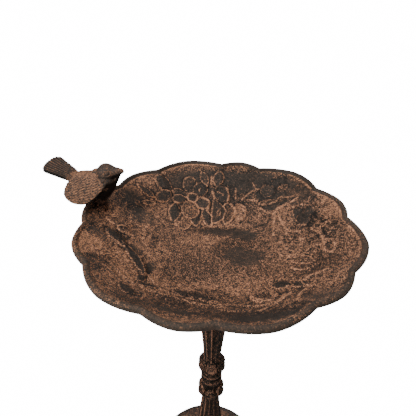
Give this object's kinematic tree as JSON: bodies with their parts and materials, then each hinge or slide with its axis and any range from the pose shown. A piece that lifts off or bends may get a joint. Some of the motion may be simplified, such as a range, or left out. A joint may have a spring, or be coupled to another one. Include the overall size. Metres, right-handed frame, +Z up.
{
  "type": "bird bath",
  "caption": "Cast iron pedestal bird bath: shallow lobed bowl with a perched bird on its rim, fluted baluster stem and domed round base.",
  "frame": {"origin": "on the ground, at the middle of the whole object's box, 19.05 mm from the stem's axis towards the bird", "axes": "+Z up the stem; the bird perches on the -X side of the bowl and faces +X across it"},
  "size_m": [0.3042, 0.262, 0.4717],
  "materials": {
    "bowl_iron": "satin dark brown-black with rust-orange rubbed highlights in the relief",
    "bird_iron": "satin brown with rust-orange rubbed feathers and a dark head",
    "stem_iron": "satin near-black with orange-brown ridges",
    "base_iron": "satin reddish brown with a dark edge",
    "fixing_steel": "zinc plated"
  },
  "bodies": {
    "root": {"bowl": "bowl_iron", "bird": "bird_iron", "upper_stem": "stem_iron", "lower_stem": "stem_iron", "base": "base_iron", "tie_rod": "fixing_steel", "base_washer": "fixing_steel", "base_lock_washer": "fixing_steel", "base_nut": "fixing_steel", "bird_washer": "fixing_steel", "bird_lock_washer": "fixing_steel", "bird_screw": "fixing_steel"}
  },
  "joints": []
}
